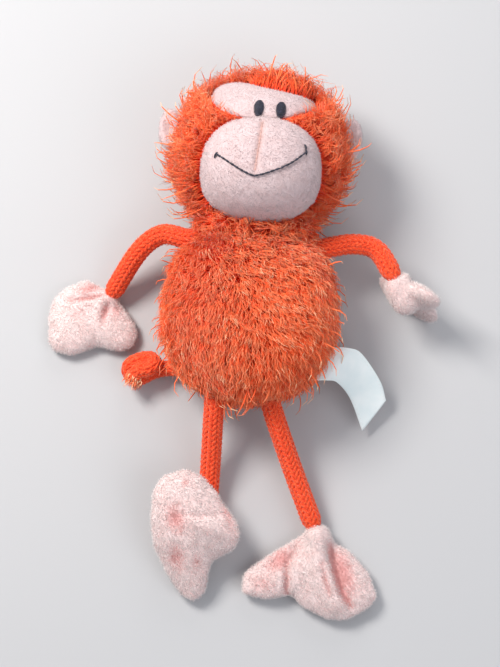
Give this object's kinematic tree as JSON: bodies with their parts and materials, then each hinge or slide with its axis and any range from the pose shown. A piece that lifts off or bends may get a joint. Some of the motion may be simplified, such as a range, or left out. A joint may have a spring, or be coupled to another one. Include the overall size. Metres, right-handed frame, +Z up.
{
  "type": "stuffed monkey",
  "caption": "Stuffed toy monkey with a shaggy round head and body, a pale padded muzzle, knitted cord arms, legs and tail, and soft mitten hands and feet that flop.",
  "frame": {"origin": "middle of the flat patch under the body's back, on the surface that the toy lies on", "axes": "+Z up out of the belly, +Y towards the top of the head, +X to the toy's own left"},
  "size_m": [0.1813, 0.235, 0.0721],
  "materials": {
    "fur": "shaggy long-pile faux fur, matt",
    "fur_back": "shaggy long-pile faux fur, matt",
    "yarn": "knitted acrylic cord, matt",
    "velour": "short velour, matt",
    "plush": "short-pile plush, matt",
    "fibre": "polyester fibre filling",
    "thread": "satin embroidery thread",
    "seam": "sewing thread in a seam",
    "satin": "woven satin ribbon"
  },
  "bodies": {
    "torso": {"body_front_fur": "fur", "body_back_fur": "fur_back", "body_stuffing": "fibre", "right_shoulder_cord": "yarn", "left_shoulder_cord": "yarn", "right_hip_cord": "yarn", "left_hip_cord": "yarn"},
    "neck": {"neck_gather": "fur_back"},
    "head": {"head_front_fur": "fur", "head_back_fur": "fur_back", "head_stuffing": "fibre", "face_patch": "velour", "muzzle_panel": "velour", "muzzle_stuffing": "fibre", "muzzle_seam_thread": "seam", "mouth_thread": "thread", "right_eye": "thread", "left_eye": "thread"},
    "right_ear": {"right_ear_front": "velour", "right_ear_back": "velour"},
    "left_ear": {"left_ear_front": "velour", "left_ear_back": "velour"},
    "tail": {"tail_cord": "yarn", "tail_knot": "yarn", "tail_tuft": "yarn"},
    "label": {"care_label": "satin"},
    "right_upper_arm": {"right_upper_arm_cord": "yarn"},
    "right_forearm": {"right_forearm_cord": "yarn"},
    "right_hand": {"right_hand_back": "plush", "right_hand_palm": "plush", "right_hand_stuffing": "fibre"},
    "right_thigh": {"right_thigh_cord": "yarn"},
    "right_shin": {"right_shin_cord": "yarn"},
    "right_foot": {"right_foot_top": "plush", "right_foot_sole": "plush", "right_foot_stuffing": "fibre"},
    "left_upper_arm": {"left_upper_arm_cord": "yarn"},
    "left_forearm": {"left_forearm_cord": "yarn"},
    "left_hand": {"left_hand_back": "plush", "left_hand_palm": "plush", "left_hand_stuffing": "fibre"},
    "left_thigh": {"left_thigh_cord": "yarn"},
    "left_shin": {"left_shin_cord": "yarn"},
    "left_foot": {"left_foot_top": "plush", "left_foot_sole": "plush", "left_foot_stuffing": "fibre"}
  },
  "joints": [
    {"name": "head_turn", "type": "hinge", "parent": "torso", "child": "neck", "pos_m": [0, 0.041, 0.028], "axis": [0, 1, 0], "range_deg": [-25, 25]},
    {"name": "head_nod", "type": "hinge", "parent": "neck", "child": "head", "pos_m": [0, 0.041, 0.028], "axis": [1, 0, 0], "range_deg": [-18, 12]},
    {"name": "right_ear_fold", "type": "hinge", "parent": "head", "child": "right_ear", "pos_m": [-0.0346, 0.085, 0.03], "axis": [0, 1, 0], "range_deg": [-35, 50], "stiffness_Nm_per_rad": 0.001},
    {"name": "left_ear_fold", "type": "hinge", "parent": "head", "child": "left_ear", "pos_m": [0.0346, 0.085, 0.03], "axis": [0, -1, 0], "range_deg": [-35, 50], "stiffness_Nm_per_rad": 0.001},
    {"name": "right_shoulder_swing", "type": "hinge", "parent": "torso", "child": "right_upper_arm", "pos_m": [-0.0295, 0.0355, 0.026], "axis": [0, 0, -1], "range_deg": [-4, 40]},
    {"name": "left_shoulder_swing", "type": "hinge", "parent": "torso", "child": "left_upper_arm", "pos_m": [0.03, 0.0345, 0.026], "axis": [0, 0, 1], "range_deg": [-20, 40]},
    {"name": "right_elbow_lift", "type": "hinge", "parent": "right_upper_arm", "child": "right_forearm", "pos_m": [-0.052, 0.0301, 0.018], "axis": [-0.8344, 0.5512, 0], "range_deg": [-10, 75]},
    {"name": "left_elbow_lift", "type": "hinge", "parent": "left_upper_arm", "child": "left_forearm", "pos_m": [0.055, 0.0354, 0.027], "axis": [-0.8148, -0.5798, 0], "range_deg": [-10, 75]},
    {"name": "right_wrist_flap", "type": "hinge", "parent": "right_forearm", "child": "right_hand", "pos_m": [-0.0629, 0.0136, 0.007], "axis": [-0.788, 0.6157, 0], "range_deg": [-40, 60]},
    {"name": "left_wrist_flap", "type": "hinge", "parent": "left_forearm", "child": "left_hand", "pos_m": [0.0624, 0.025, 0.0284], "axis": [0.6171, -0.2027, 0.7603], "range_deg": [-40, 40]},
    {"name": "right_hip_flex", "type": "hinge", "parent": "torso", "child": "right_thigh", "pos_m": [-0.0133, -0.0405, 0.022], "axis": [-1, 0, 0], "range_deg": [-10, 95]},
    {"name": "left_hip_flex", "type": "hinge", "parent": "torso", "child": "left_thigh", "pos_m": [0.0133, -0.0405, 0.022], "axis": [-1, 0, 0], "range_deg": [-10, 95]},
    {"name": "right_knee_bend", "type": "hinge", "parent": "right_thigh", "child": "right_shin", "pos_m": [-0.0135, -0.0675, 0.009], "axis": [1, 0, 0], "range_deg": [-5, 75]},
    {"name": "left_knee_bend", "type": "hinge", "parent": "left_thigh", "child": "left_shin", "pos_m": [0.024, -0.0655, 0.0125], "axis": [1, 0, 0], "range_deg": [-5, 75]},
    {"name": "right_ankle_flap", "type": "hinge", "parent": "right_shin", "child": "right_foot", "pos_m": [-0.014, -0.094, 0.0056], "axis": [1, 0, 0], "range_deg": [0, 60]},
    {"name": "left_ankle_flap", "type": "hinge", "parent": "left_shin", "child": "left_foot", "pos_m": [0.0337, -0.087, 0.0074], "axis": [-1, 0, 0], "range_deg": [-40, 50]},
    {"name": "tail_swing", "type": "hinge", "parent": "torso", "child": "tail", "pos_m": [-0.027, -0.0205, 0.0062], "axis": [0, 0, -1], "range_deg": [-60, 8]},
    {"name": "label_flap", "type": "hinge", "parent": "torso", "child": "label", "pos_m": [0.0366, -0.0099, 0.0255], "axis": [-0.4357, -0.9001, 0], "range_deg": [-15, 65], "stiffness_Nm_per_rad": 0.001}
  ]
}
